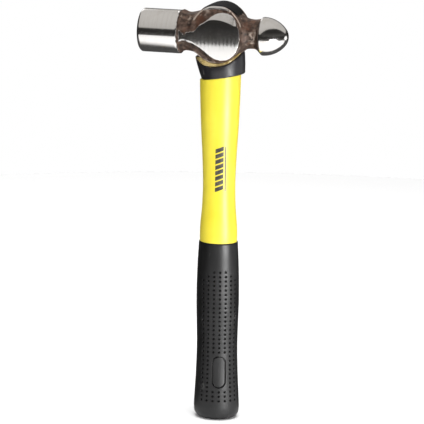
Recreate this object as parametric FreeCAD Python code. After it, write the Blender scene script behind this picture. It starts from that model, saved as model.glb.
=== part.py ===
"""Ball pein hammer with a moulded fibreglass handle and a rubber grip.

Millimetres.  The origin is the centre of the butt's resting face, +Z runs up the handle
to the head, +X points from the eye to the ball pein and -X to the striking face.
"""
import FreeCAD, Part
import math
import os

# ---- driving dimensions -------------------------------------------------------------
HEAD_Z = 306.0            # height of the head's long axis above the butt
FACE_X = -64.2            # striking face
FACE_R = 16.9             # ground cylinder behind the striking face
FACE_LAND_R = 7.0         # flat centre of the striking face
FACE_CROWN = 0.7          # how far the crowned face falls away at its edge
FACE_CHAMFER = 1.6
FACE_END_X = -31.4        # where the ground cylinder meets the forged neck
BALL_RIM_X = 33.6         # largest section of the ball pein
BALL_RIM_R = 14.9
BALL_TIP_X = 53.7
BALL_TIP_R = 10.5         # sphere at the tip
BALL_FLANK_X = 17.8       # along the head, from the rim to where flank and sphere meet
BALL_FLANK_R = 6.5        # radius of that circle
BALL_BULGE = (10.7, 12.45)  # a point on the bulging flank: from the rim, and its radius
BALL_UNDERCUT = 2.3       # the rim's underside slopes back to the neck
EYE_X = 0.5               # centre of the eye along the head
BOSS_X = -0.4             # centre of the eye boss along the head
BOSS_LOW = -1.8           # the boss has a round foot about this height from the axis
BOSS_HIGH = 4.1           # and a round top about this one, with straight flanks between
BOSS_R = 19.8             # crown of both rounds, whose axes lie along Y
BOSS_EDGE_R = 19.5        # their radius at the rim of the cheeks
BOSS_CHEEK_R = 14.5       # where the rim's bevel meets the blank's sides
CHEEK_Y = 17.0            # half thickness between the ground cheeks
CHEEK_CURVE_R = 88.0      # the cheeks are ground to a barrel about X
RIM_Y = 13.2              # half thickness at the boss's rim
EYE = (12.4, 8.4)         # half axes of the oval eye
ROD = (9.8, 6.2)          # half axes of the fibreglass rod
ROD_BOTTOM_Z = 10.0
ROD_TOP_Z = HEAD_Z + 17.0
CAP_FILM = 0.8            # thickness of the black seal over the boss
CAP_DEPTH = 4.0           # how far the seal reaches down into the eye
CAP_X = 14.5              # half length of the seal along the head
CAP_Y = 13.0              # half width of the seal
COLLAR_TILT = 9.5         # degrees, the collar sits lower towards the striking face
COLLAR_X = 0.9            # the collar sits a little towards the ball pein
COLLAR_Z = 281.9          # middle of the collar, where its tilt turns
COLLAR_BELOW = 8.8
COLLAR_ABOVE = 9.6
COLLAR_FLATNESS = 0.87
COLLAR_SEAT_R = 24.1      # the saddle that cups the boss, with room for resin on one side
COLLAR_SEAT_X = -2.6
RESIN_Y = 13.6            # half width of the resin that is squeezed out over the collar
HANDLE_FLATNESS = 0.86    # depth over width of the handle's oval section
SPIGOT = (12.6, 10.4)     # half axes of the jacket's spigot inside the collar
SPIGOT_FOOT_Z = 262.0
SPIGOT_TOP_Z = 279.0
GRIP_TOP_Z = 142.5
GRIP_BUTT_ROUND = 6.2
BUTT_SKIN = 1.0           # moulding flash cut off below the flat butt
PAD_Z = 39.4              # centre of the obround label pad
PAD_SIZE = (9.4, 24.4)
PAD_TURN = 22.5           # degrees from the front, towards the ball pein
PAD_GROOVE = 1.0
PAD_DEPTH = 1.4

# Height and half width of the handle, from the butt to the head.
GRIP_STATIONS = [(GRIP_BUTT_ROUND, 17.8), (10.0, 18.0), (38.0, 16.65), (60.0, 16.15), (95.0, 16.85),
                 (120.0, 16.45), (GRIP_TOP_Z, 15.35)]
JACKET_STATIONS = [(6.0, 11.6), (60.0, 11.6), (110.0, 12.2), (GRIP_TOP_Z, 14.75),
                   (153.0, 14.65), (170.0, 13.3), (187.0, 12.75), (210.0, 13.5),
                   (240.0, 15.1), (264.0, 15.9), (275.0, 16.1)]
COLLAR_STATIONS = [(-COLLAR_BELOW, 16.7), (-COLLAR_BELOW + 1.6, 17.5), (COLLAR_ABOVE, 19.8)]

X_AXIS = FreeCAD.Vector(1, 0, 0)
Y_AXIS = FreeCAD.Vector(0, 1, 0)
Z_AXIS = FreeCAD.Vector(0, 0, 1)
HEAD_CENTRE = FreeCAD.Vector(0, 0, HEAD_Z)


def point(x, y, z):
    return FreeCAD.Vector(x, y, z)


def squashed(solid, flatness):
    """Flatten a round solid along Y, which turns its sections into ovals."""
    matrix = FreeCAD.Matrix()
    matrix.scale(1.0, flatness, 1.0)
    return solid.transformGeometry(matrix)


def turned_about_z(edges, top_z, foot_z):
    """Turn a side outline that runs up from the foot to the top about Z."""
    foot = edges[0].firstVertex().Point
    top = edges[-1].lastVertex().Point
    closing = [Part.makeLine(top, point(0, 0, top_z)),
               Part.makeLine(point(0, 0, top_z), point(0, 0, foot_z)),
               Part.makeLine(point(0, 0, foot_z), foot)]
    return Part.Face(Part.Wire(edges + closing)).revolve(point(0, 0, 0), Z_AXIS, 360)


def smooth_side(stations, grow=0.0):
    """Curve through (height, half width) stations in the XZ plane."""
    curve = Part.BSplineCurve()
    curve.interpolate([point(half + grow, 0, z) for z, half in stations])
    return curve.toShape()


def straight_side(stations):
    """Straight lines through (height, half width) stations in the XZ plane."""
    corners = [point(half, 0, z) for z, half in stations]
    return [Part.makeLine(low, high) for low, high in zip(corners, corners[1:])]


def oval_turning(stations, grow=0.0):
    """Solid with the handle's oval section, given as (height, half width)."""
    side = smooth_side(stations, grow)
    return squashed(turned_about_z([side], stations[-1][0], stations[0][0]), HANDLE_FLATNESS)


# ---- head ---------------------------------------------------------------------------
def turned_face():
    """Poll of the head: a cylinder with a crowned, chamfered striking face."""
    edge_x = FACE_X + FACE_CROWN
    edge_r = FACE_R - FACE_CHAMFER
    mid_r = (FACE_LAND_R + edge_r) / 2
    crown = Part.Arc(point(FACE_X, 0, FACE_LAND_R), point(FACE_X + FACE_CROWN * 0.3, 0, mid_r),
                     point(edge_x, 0, edge_r)).toShape()
    outline = [
        Part.makeLine(point(FACE_X, 0, 0), point(FACE_X, 0, FACE_LAND_R)),
        crown,
        Part.makeLine(point(edge_x, 0, edge_r), point(edge_x + FACE_CHAMFER, 0, FACE_R)),
        Part.makeLine(point(edge_x + FACE_CHAMFER, 0, FACE_R), point(FACE_END_X, 0, FACE_R)),
        Part.makeLine(point(FACE_END_X, 0, FACE_R), point(FACE_END_X + 1, 0, 0)),
        Part.makeLine(point(FACE_END_X + 1, 0, 0), point(FACE_X, 0, 0)),
    ]
    return spun(outline)


def turned_ball():
    """Ball pein: a bulging flank that runs into a spherical tip, with an undercut rim."""
    foot_x = BALL_RIM_X - BALL_UNDERCUT
    join_x = BALL_RIM_X + BALL_FLANK_X
    rim = point(BALL_RIM_X, 0, BALL_RIM_R)
    bulge = point(BALL_RIM_X + BALL_BULGE[0], 0, BALL_BULGE[1])
    join = point(join_x, 0, BALL_FLANK_R)
    foot = point(foot_x, 0, BALL_RIM_R - BALL_UNDERCUT)
    outline = [
        Part.makeLine(point(foot_x, 0, 0), foot),
        Part.makeLine(foot, rim),
        Part.Arc(rim, bulge, join).toShape(),
        Part.makeLine(join, point(join_x, 0, 0)),
        Part.makeLine(point(join_x, 0, 0), point(foot_x, 0, 0)),
    ]
    tip_centre = point(BALL_TIP_X - BALL_TIP_R, 0, HEAD_Z)
    return spun(outline).fuse(Part.makeSphere(BALL_TIP_R, tip_centre))


def spun(outline):
    """Turn a closed outline in the XZ plane about X and lift it to the head's axis."""
    face = Part.Face(Part.Wire(outline))
    solid = face.revolve(point(0, 0, 0), X_AXIS, 360)
    solid.translate(HEAD_CENTRE)
    return solid


def neck_wire(x, half_height, half_depth, top_half, side_half):
    """Eight-sided forged section: a flat top, a ground side strip and slopes between."""
    corners = [(top_half, half_height), (half_depth, side_half), (half_depth, -side_half),
               (top_half, -half_height), (-top_half, -half_height), (-half_depth, -side_half),
               (-half_depth, side_half), (-top_half, half_height)]
    points = [point(x, y, HEAD_Z + z) for y, z in corners]
    return Part.makePolygon(points + points[:1])


def face_neck():
    """Forged neck between the striking face and the eye."""
    wires = [
        neck_wire(FACE_END_X + 0.2, 15.6, 15.4, 7.4, 5.4),
        neck_wire(-26.0, 14.6, 15.0, 7.2, 4.4),
        neck_wire(-20.0, 15.4, 16.3, 7.4, 4.6),
        neck_wire(-8.0, 17.0, 17.0, 8.0, 6.0),
    ]
    return Part.makeLoft(wires, True, True)


def ball_neck():
    """Thinner forged neck between the eye and the ball pein."""
    wires = [
        neck_wire(8.0, 15.5, 15.5, 7.0, 6.0),
        neck_wire(19.5, 13.2, 12.8, 6.2, 5.0),
        neck_wire(26.0, 12.2, 11.2, 5.6, 4.6),
        neck_wire(BALL_RIM_X - 1.0, 12.3, 11.6, 5.6, 4.8),
    ]
    return Part.makeLoft(wires, True, True)


def boss_side(sign):
    """Crowned and bevelled outline of one half of the boss, in the XY plane."""
    blank_y = CHEEK_Y + 1.0
    cheek, edge = sign * BOSS_CHEEK_R, sign * BOSS_EDGE_R
    return Part.Face(Part.Wire([
        Part.makeLine(point(0, -blank_y, 0), point(cheek, -blank_y, 0)),
        Part.makeLine(point(cheek, -blank_y, 0), point(edge, -RIM_Y, 0)),
        Part.Arc(point(edge, -RIM_Y, 0), point(sign * BOSS_R, 0, 0),
                 point(edge, RIM_Y, 0)).toShape(),
        Part.makeLine(point(edge, RIM_Y, 0), point(cheek, blank_y, 0)),
        Part.makeLine(point(cheek, blank_y, 0), point(0, blank_y, 0)),
        Part.makeLine(point(0, blank_y, 0), point(0, -blank_y, 0)),
    ]))


def stacked(round_solid, flanks):
    """Put a round solid at the boss's low and high centres and join them by flanks."""
    foot, top = round_solid.copy(), round_solid
    foot.translate(point(0, 0, BOSS_LOW))
    top.translate(point(0, 0, BOSS_HIGH))
    solid = foot.fuse(top)
    for flank in flanks:
        flank.translate(point(0, 0, BOSS_LOW))
        solid = solid.fuse(flank)
    solid.translate(point(BOSS_X, 0, HEAD_Z))
    return solid.removeSplitter()


def boss_barrel():
    """Eye boss before grinding: crowned rounds about Y with bevelled cheeks."""
    rise = point(0, 0, BOSS_HIGH - BOSS_LOW)
    turned = boss_side(1).revolve(point(0, 0, 0), Y_AXIS, 360)
    return stacked(turned, [boss_side(sign).extrude(rise) for sign in (-1, 1)])


def boss_envelope(grow, length=60.0):
    """Plain obround bar along Y around the boss, larger or smaller than it by grow."""
    radius = BOSS_R + grow
    bar = Part.makeCylinder(radius, length, point(0, -length / 2, 0), Y_AXIS)
    middle = Part.makeBox(2 * radius, length, BOSS_HIGH - BOSS_LOW,
                          point(-radius, -length / 2, 0))
    return stacked(bar, [middle])


def cheek_grind():
    """Everything inside the two ground cheeks, which curve about X."""
    half_z = BOSS_R + BOSS_HIGH + 4
    sag = CHEEK_CURVE_R - math.sqrt(CHEEK_CURVE_R ** 2 - half_z ** 2)
    near = [point(-40, -CHEEK_Y + sag, -half_z), point(-40, -CHEEK_Y, 0),
            point(-40, -CHEEK_Y + sag, half_z)]
    far = [point(-40, CHEEK_Y - sag, half_z), point(-40, CHEEK_Y, 0),
           point(-40, CHEEK_Y - sag, -half_z)]
    outline = [Part.Arc(*near).toShape(), Part.makeLine(near[2], far[0]),
               Part.Arc(*far).toShape(), Part.makeLine(far[2], near[0])]
    solid = Part.Face(Part.Wire(outline)).extrude(point(80, 0, 0))
    solid.translate(HEAD_CENTRE)
    return solid


def oval_bar(half_axes, foot_z, top_z):
    """Straight upright bar with an elliptical section."""
    section = Part.Ellipse(point(0, 0, foot_z), *half_axes).toShape()
    return Part.Face(Part.Wire([section])).extrude(point(0, 0, top_z - foot_z))


def eye_space():
    """The oval eye through the boss."""
    bar = oval_bar(EYE, HEAD_Z + BOSS_LOW - BOSS_R - 2, HEAD_Z + BOSS_HIGH + BOSS_R + 2)
    bar.translate(point(EYE_X, 0, 0))
    return bar


def hammer_head(eye):
    forging = boss_barrel().fuse(face_neck()).fuse(ball_neck()).common(cheek_grind())
    head = forging.fuse(turned_face()).fuse(turned_ball())
    return head.cut(eye).removeSplitter()


# ---- handle -------------------------------------------------------------------------
def core_rod():
    """Pultruded fibreglass rod from inside the grip to the top of the eye."""
    return oval_bar(ROD, ROD_BOTTOM_Z, ROD_TOP_Z)


def collar_seat(length=60.0):
    """Plain cylinder along Y that cuts the saddle into the collar."""
    foot = point(COLLAR_SEAT_X, -length / 2, HEAD_Z)
    return Part.makeCylinder(COLLAR_SEAT_R, length, foot, Y_AXIS)


def eye_cap(eye):
    """Black seal: a plug in the eye's upper mouth that spreads over the boss's top."""
    cover = Part.makeBox(2 * CAP_X, 2 * CAP_Y, BOSS_R,
                         point(BOSS_X - CAP_X, -CAP_Y, HEAD_Z + BOSS_HIGH + BOSS_R / 2))
    film = boss_envelope(CAP_FILM).common(cover).cut(boss_barrel())
    plug = eye.common(boss_envelope(0.0)).cut(boss_envelope(-CAP_DEPTH))
    above = Part.makeBox(60, 60, 60, point(-30, -30, HEAD_Z))
    return film.fuse(plug.common(above)).removeSplitter()


def tilted(solid):
    """Tilt a solid about Y like the collar, then lift it to the collar's height."""
    solid.rotate(point(0, 0, 0), Y_AXIS, -COLLAR_TILT)
    solid.translate(point(COLLAR_X, 0, COLLAR_Z))
    return solid


def collar_block():
    """Outside of the collar before the boss and the spigot are cut out of it."""
    turning = turned_about_z(straight_side(COLLAR_STATIONS), COLLAR_ABOVE, -COLLAR_BELOW)
    return tilted(squashed(turning, COLLAR_FLATNESS))


def handle_jacket(rod):
    """Yellow moulded jacket around the rod, waisted above the grip.

    Its shoulder is cut off at the collar's tilt, and a spigot runs on into the collar.
    """
    above_shoulder = tilted(Part.makeBox(80, 80, 40, point(-40, -40, -COLLAR_BELOW)))
    body = oval_turning(JACKET_STATIONS).cut(above_shoulder)
    spigot = oval_bar(SPIGOT, SPIGOT_FOOT_Z, SPIGOT_TOP_Z)
    return body.fuse(spigot).cut(rod)


def overstrike_collar(rod):
    """Rubber collar that cups the boss and takes missed blows."""
    spigot = oval_bar(SPIGOT, SPIGOT_FOOT_Z, SPIGOT_TOP_Z)
    return collar_block().cut(collar_seat()).cut(boss_barrel()).cut(spigot).cut(rod)


def eye_resin(eye, rod, cap):
    """Cast resin that fills the eye around the rod and squeezes out over the collar."""
    above = Part.makeBox(60, 60, 60, point(-30, -30, HEAD_Z))
    below = Part.makeBox(60, 60, 60, point(-30, -30, HEAD_Z - 60))
    seat = collar_seat()
    upper = eye.common(boss_envelope(0.0)).common(above)
    lower = eye.common(seat).common(below)
    behind_rims = Part.makeBox(80, 2 * RESIN_Y, 80, point(-40, -RESIN_Y, HEAD_Z - 60))
    squeezed = collar_block().common(seat).common(behind_rims)
    squeezed = squeezed.cut(boss_barrel().common(cheek_grind()))
    cast = upper.fuse(lower).fuse(squeezed)
    return cast.cut(rod).cut(cap).removeSplitter()


def obround_prism(grow):
    """Obround bar that runs out of the handle in the direction of the label pad."""
    half_w = PAD_SIZE[0] / 2 + grow
    straight = (PAD_SIZE[1] - PAD_SIZE[0]) / 2
    top = point(0, 0, straight)
    foot = point(0, 0, -straight)
    side = point(half_w, 0, 0)
    arc_up = point(0, 0, straight + half_w)
    arc_down = point(0, 0, -straight - half_w)
    outline = [Part.makeLine(foot + side, top + side),
               Part.Arc(top + side, arc_up, top - side).toShape(),
               Part.makeLine(top - side, foot - side),
               Part.Arc(foot - side, arc_down, foot + side).toShape()]
    prism = Part.Face(Part.Wire(outline)).extrude(point(0, -30, 0))
    prism.rotate(point(0, 0, 0), Z_AXIS, PAD_TURN)
    prism.translate(point(0, 0, PAD_Z))
    return prism


def grip_outside():
    """Outside of the rubber grip: a rounded butt with a flat resting face."""
    foot_half = GRIP_STATIONS[0][1]
    turn = GRIP_BUTT_ROUND * (1 - math.sqrt(0.5))
    rounding = Part.Arc(point(foot_half - GRIP_BUTT_ROUND, 0, 0), point(foot_half - turn, 0, turn),
                        point(foot_half, 0, GRIP_BUTT_ROUND)).toShape()
    low = -BUTT_SKIN
    stub = Part.makeLine(point(foot_half - GRIP_BUTT_ROUND, 0, low),
                         point(foot_half - GRIP_BUTT_ROUND, 0, 0))
    edges = [stub, rounding, smooth_side(GRIP_STATIONS)]
    body = squashed(turned_about_z(edges, GRIP_TOP_Z, low), HANDLE_FLATNESS)
    below = Part.makeBox(60, 60, 10, point(-30, -30, -10))
    return body.cut(below)


def pad_layer(grow):
    """The obround bar where it lies within the grip's outer skin."""
    core = oval_turning(GRIP_STATIONS, -PAD_DEPTH)
    return obround_prism(grow).common(grip_outside()).cut(core)


def rubber_grip(jacket, rod):
    grip = grip_outside().cut(jacket).cut(rod)
    return grip.cut(pad_layer(PAD_GROOVE))


def build():
    eye = eye_space()
    rod = core_rod()
    jacket = handle_jacket(rod)
    head = hammer_head(eye)
    cap = eye_cap(eye)
    return {
        "hammer_head": head,
        "core_rod": rod,
        "handle_jacket": jacket,
        "overstrike_collar": overstrike_collar(rod),
        "eye_resin": eye_resin(eye, rod, cap),
        "eye_cap": cap,
        "rubber_grip": rubber_grip(jacket, rod),
        "grip_pad": pad_layer(0.0),
    }


def main():
    os.makedirs("parts", exist_ok=True)
    for node, shape in build().items():
        shape.exportStep(f"parts/{node}.step")
        box = shape.BoundBox
        print(f"{node}: {len(shape.Solids)} solid(s), {shape.Volume / 1000:.1f} cm3, valid "
              f"{shape.isValid()}, x {box.XMin:.1f}..{box.XMax:.1f}, y {box.YMin:.1f}..{box.YMax:.1f}, "
              f"z {box.ZMin:.1f}..{box.ZMax:.1f}")


main()
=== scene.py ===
# %% [markdown]
# # A ball pein hammer with a fibreglass handle
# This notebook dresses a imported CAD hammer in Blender. The CAD file settles every size, so the
# first step loads it as a fixed frame: +Z runs up the handle, +X points to the ball pein, and the
# origin is the middle of the butt. All the shapes below are measured from that frame.

# %% Load the frame
import math

import bmesh
import bpy
import numpy as np
from mathutils import Matrix, Vector, noise


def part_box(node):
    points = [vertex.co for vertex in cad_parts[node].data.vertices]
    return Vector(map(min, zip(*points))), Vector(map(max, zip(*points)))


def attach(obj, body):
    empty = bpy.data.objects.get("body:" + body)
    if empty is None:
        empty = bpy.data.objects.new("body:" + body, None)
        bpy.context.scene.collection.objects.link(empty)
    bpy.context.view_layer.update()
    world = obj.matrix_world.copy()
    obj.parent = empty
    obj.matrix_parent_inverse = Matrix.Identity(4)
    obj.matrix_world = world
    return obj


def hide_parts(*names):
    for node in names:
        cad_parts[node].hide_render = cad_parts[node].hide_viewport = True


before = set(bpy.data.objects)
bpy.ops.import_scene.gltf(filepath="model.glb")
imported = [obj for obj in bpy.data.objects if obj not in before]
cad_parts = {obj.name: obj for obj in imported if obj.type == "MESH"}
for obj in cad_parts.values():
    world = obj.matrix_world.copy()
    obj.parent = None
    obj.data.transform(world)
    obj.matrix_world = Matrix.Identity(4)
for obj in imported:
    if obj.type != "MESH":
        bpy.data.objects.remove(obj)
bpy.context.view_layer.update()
MM = 0.001
head_low, head_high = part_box("hammer_head")
grip_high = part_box("rubber_grip")[1]
cap_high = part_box("eye_cap")[1]

# %% [markdown]
# ## Driving sizes
# The head is drawn about its own long axis, which lies level through the middle of the poll (the
# cylinder behind the striking face). A film of black seal lies over the crown of the eye boss,
# so the axis lies below the top of the seal by the film, by the boss's radius and by the height
# of its upper round. The handle is an oval: 0.86 as deep as it is wide.

# %% Sizes taken from the frame, in millimetres
POLL_R = 16.9
FACE_X = head_low.x / MM
TIP_X = head_high.x / MM
BOSS_X, BOSS_R, RIM_Y, CHEEK_Y = -0.4, 19.8, 13.2, 17.0
BOSS_LOW, BOSS_HIGH = -1.8, 4.1
CAD_FILM = 0.8
HEAD_Z = round(cap_high.z / MM - CAD_FILM - BOSS_R - BOSS_HIGH, 2)
CHEEK_CURVE = 88.0
NECK_FOOT_X, RIM_X = -31.4, 33.6
RIM_R, TIP_R = 14.9, 10.5
FACE_CROWN = 0.7
CHAMFER_SUM = 78.9  # distance from the axis less x, anywhere on the face's chamfer
OVAL = 0.86
GRIP_TOP = grip_high.z / MM
PAD_TURN = math.radians(22.5)
PAD_Z = 39.4
print(f"head {FACE_X:.1f} to {TIP_X:.1f} mm along X on an axis {HEAD_Z:.2f} mm up, "
      f"grip up to {GRIP_TOP:.1f} mm")

# %% [markdown]
# ## Two small helpers
# Every piece ends the same way: its bmesh becomes a mesh object at the origin, smooth shaded
# except across sharp edges, with one material in its slot and a body to ride on.
# A turned piece also starts the same way: a side outline of points joined by edges, spun once
# around an axis, with its doubles merged and its faces turned outwards.

# %% Helpers for finishing and turning a piece
def finish_piece(name, bm, material, sharp_degrees=38):
    mesh = bpy.data.meshes.new(name)
    bm.to_mesh(mesh)
    bm.free()
    mesh.shade_smooth()
    mesh.set_sharp_from_angle(angle=math.radians(sharp_degrees))
    mesh.materials.append(material)
    piece = bpy.data.objects.new(name, mesh)
    bpy.context.scene.collection.objects.link(piece)
    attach(piece, "root")
    print(f"{name}: {len(mesh.polygons)} faces")
    return piece


def turn_outline(points, axis, steps):
    """Spin an outline of (x, y, z) millimetres once about an axis through the origin."""
    bm = bmesh.new()
    verts = [bm.verts.new(Vector(p) * MM) for p in points]
    edges = [bm.edges.new(pair) for pair in zip(verts, verts[1:])]
    bmesh.ops.spin(bm, geom=verts + edges, cent=(0, 0, 0), axis=axis, dvec=(0, 0, 0),
                   angle=2 * math.pi, steps=steps, use_merge=True)
    bmesh.ops.remove_doubles(bm, verts=bm.verts, dist=1e-6)
    bmesh.ops.recalc_face_normals(bm, faces=bm.faces)
    return bm


def smooth_through(stations, z):
    """Smooth curve through (height, half width) stations, as a monotone cubic."""
    heights = [s[0] for s in stations]
    k = min(max(int(np.searchsorted(heights, z)) - 1, 0), len(stations) - 2)
    (z0, a), (z1, b) = stations[k], stations[k + 1]
    before = stations[max(k - 1, 0)]
    after = stations[min(k + 2, len(stations) - 1)]
    slope0 = (b - before[1]) / (z1 - before[0])
    slope1 = (after[1] - a) / (after[0] - z0)
    t = (z - z0) / (z1 - z0)
    span = z1 - z0
    return ((2 * t**3 - 3 * t**2 + 1) * a + (t**3 - 2 * t**2 + t) * span * slope0
            + (3 * t**2 - 2 * t**3) * b + (t**3 - t**2) * span * slope1)


def ramp(low, high, value):
    """0 below low, 1 above high, and a smooth rise between."""
    t = np.clip((value - low) / (high - low), 0, 1)
    return t * t * (3 - 2 * t)


# %% [markdown]
# ## Shared effects
# Moulded rubber and moulded plastic both show a fine grain, uneven tone and a few rubbed spots.
# Steel shows fine lines where it was ground. Each effect is one node group with its own inputs,
# built once and placed in every material that needs it. The groups put out only values that
# change over the surface, and the shader itself stays in each material.

# %% Node group helpers
def start_group(name, inputs, outputs):
    group = bpy.data.node_groups.new(name, "ShaderNodeTree")
    for label, kind, value in inputs:
        socket = group.interface.new_socket(label, in_out="INPUT", socket_type=kind)
        socket.default_value = value
    for label, kind in outputs:
        group.interface.new_socket(label, in_out="OUTPUT", socket_type=kind)
    return group, group.nodes.new("NodeGroupInput"), group.nodes.new("NodeGroupOutput")


def add_math(tree, operation, first, second=0.0, clamp=False):
    """A Math node; each operand is a number or another node's output."""
    node = tree.nodes.new("ShaderNodeMath")
    node.operation = operation
    node.use_clamp = clamp
    for socket, value in zip(node.inputs, (first, second)):
        if isinstance(value, (int, float)):
            socket.default_value = value
        else:
            tree.links.new(value, socket)
    return node.outputs[0]


def add_noise(tree, vector, scale, detail=4.0, roughness=0.55):
    node = tree.nodes.new("ShaderNodeTexNoise")
    node.inputs["Detail"].default_value = detail
    node.inputs["Roughness"].default_value = roughness
    if isinstance(scale, (int, float)):
        node.inputs["Scale"].default_value = scale
    else:
        tree.links.new(scale, node.inputs["Scale"])
    tree.links.new(vector, node.inputs["Vector"])
    return node.outputs["Fac"]


def add_range(tree, value, from_low, from_high, to_low=0.0, to_high=1.0):
    node = tree.nodes.new("ShaderNodeMapRange")
    node.interpolation_type = "SMOOTHSTEP"
    for label, number in (("From Min", from_low), ("From Max", from_high),
                          ("To Min", to_low), ("To Max", to_high)):
        node.inputs[label].default_value = number
    tree.links.new(value, node.inputs["Value"])
    return node.outputs["Result"]


def add_mapping(tree, vector, scale=(1, 1, 1)):
    node = tree.nodes.new("ShaderNodeMapping")
    node.inputs["Scale"].default_value = scale
    tree.links.new(vector, node.inputs["Vector"])
    return node.outputs["Vector"]


def add_dot(tree, vector, direction):
    node = tree.nodes.new("ShaderNodeVectorMath")
    node.operation = "DOT_PRODUCT"
    node.inputs[1].default_value = direction
    tree.links.new(vector, node.inputs[0])
    return node.outputs["Value"]


def add_mix(tree, factor, first, second):
    """A colour mix; each colour is a tuple or another node's output."""
    node = tree.nodes.new("ShaderNodeMix")
    node.data_type = "RGBA"
    for socket, value in ((node.inputs[0], factor), (node.inputs[6], first),
                          (node.inputs[7], second)):
        if isinstance(value, bpy.types.NodeSocket):
            tree.links.new(value, socket)
        elif isinstance(value, (int, float)):
            socket.default_value = value
        else:
            socket.default_value = (*value, 1.0)
    return node.outputs[2]


# %% Group: the skin of a moulded part
def build_moulded_skin():
    group, given, out = start_group(
        "moulded_skin",
        [("Vector", "NodeSocketVector", (0, 0, 0)), ("Grain Scale", "NodeSocketFloat", 1500.0),
         ("Scuff Amount", "NodeSocketFloat", 0.5)],
        [("Tone", "NodeSocketFloat"), ("Scuffs", "NodeSocketFloat"), ("Grain", "NodeSocketFloat")])
    where = given.outputs["Vector"]
    cloud = add_noise(group, where, 45.0, 5.0, 0.6)
    grain = add_noise(group, where, given.outputs["Grain Scale"], 2.0, 0.5)
    stretched = add_mapping(group, where, (1.0, 1.0, 0.22))
    rubbed = add_noise(group, stretched, 420.0, 6.0, 0.7)
    spots = add_noise(group, where, 70.0, 3.0, 0.6)
    scuffs = add_math(group, "MULTIPLY", add_range(group, rubbed, 0.56, 0.72),
                      add_range(group, spots, 0.48, 0.66))
    scuffs = add_math(group, "MULTIPLY", scuffs, given.outputs["Scuff Amount"], True)
    group.links.new(cloud, out.inputs["Tone"])
    group.links.new(scuffs, out.inputs["Scuffs"])
    group.links.new(grain, out.inputs["Grain"])
    return group


moulded_skin = build_moulded_skin()


# %% Group: fine lines left by grinding
def build_ground_lines():
    group, given, out = start_group(
        "ground_lines", [("Vector", "NodeSocketVector", (0, 0, 0))],
        [("Lines", "NodeSocketFloat"), ("Bands", "NodeSocketFloat")])
    where = given.outputs["Vector"]
    fine = add_noise(group, where, 1.0, 3.0, 0.6)
    broad = add_noise(group, add_mapping(group, where, (0.3, 0.3, 0.3)), 1.0, 2.0, 0.5)
    group.links.new(fine, out.inputs["Lines"])
    group.links.new(broad, out.inputs["Bands"])
    return group


ground_lines = build_ground_lines()


# %% Start and close a material
def start_material(name):
    material = bpy.data.materials.new(name)
    material.use_nodes = True
    tree = material.node_tree
    shader = tree.nodes["Principled BSDF"]
    where = tree.nodes.new("ShaderNodeTexCoord").outputs["Object"]
    return material, tree, shader, where


def place_group(tree, group, vector, **values):
    node = tree.nodes.new("ShaderNodeGroup")
    node.node_tree = group
    tree.links.new(vector, node.inputs["Vector"])
    for label, value in values.items():
        node.inputs[label.replace("_", " ")].default_value = value
    return node.outputs


def add_bump(tree, shader, height, distance, strength):
    node = tree.nodes.new("ShaderNodeBump")
    node.inputs["Distance"].default_value = distance
    node.inputs["Strength"].default_value = strength
    tree.links.new(height, node.inputs["Height"])
    tree.links.new(node.outputs["Normal"], shader.inputs["Normal"])


# %% [markdown]
# ## Head steel
# One forging carries three finishes. The poll and the ball are turned and polished, the cheeks
# are ground, and the necks keep a brown, pitted forging skin. The mesh stores how far each point
# was ground in an attribute called `ground`, because grinding follows the shape and not the
# space around it. The lines run around the poll and up and down the cheeks.

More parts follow.
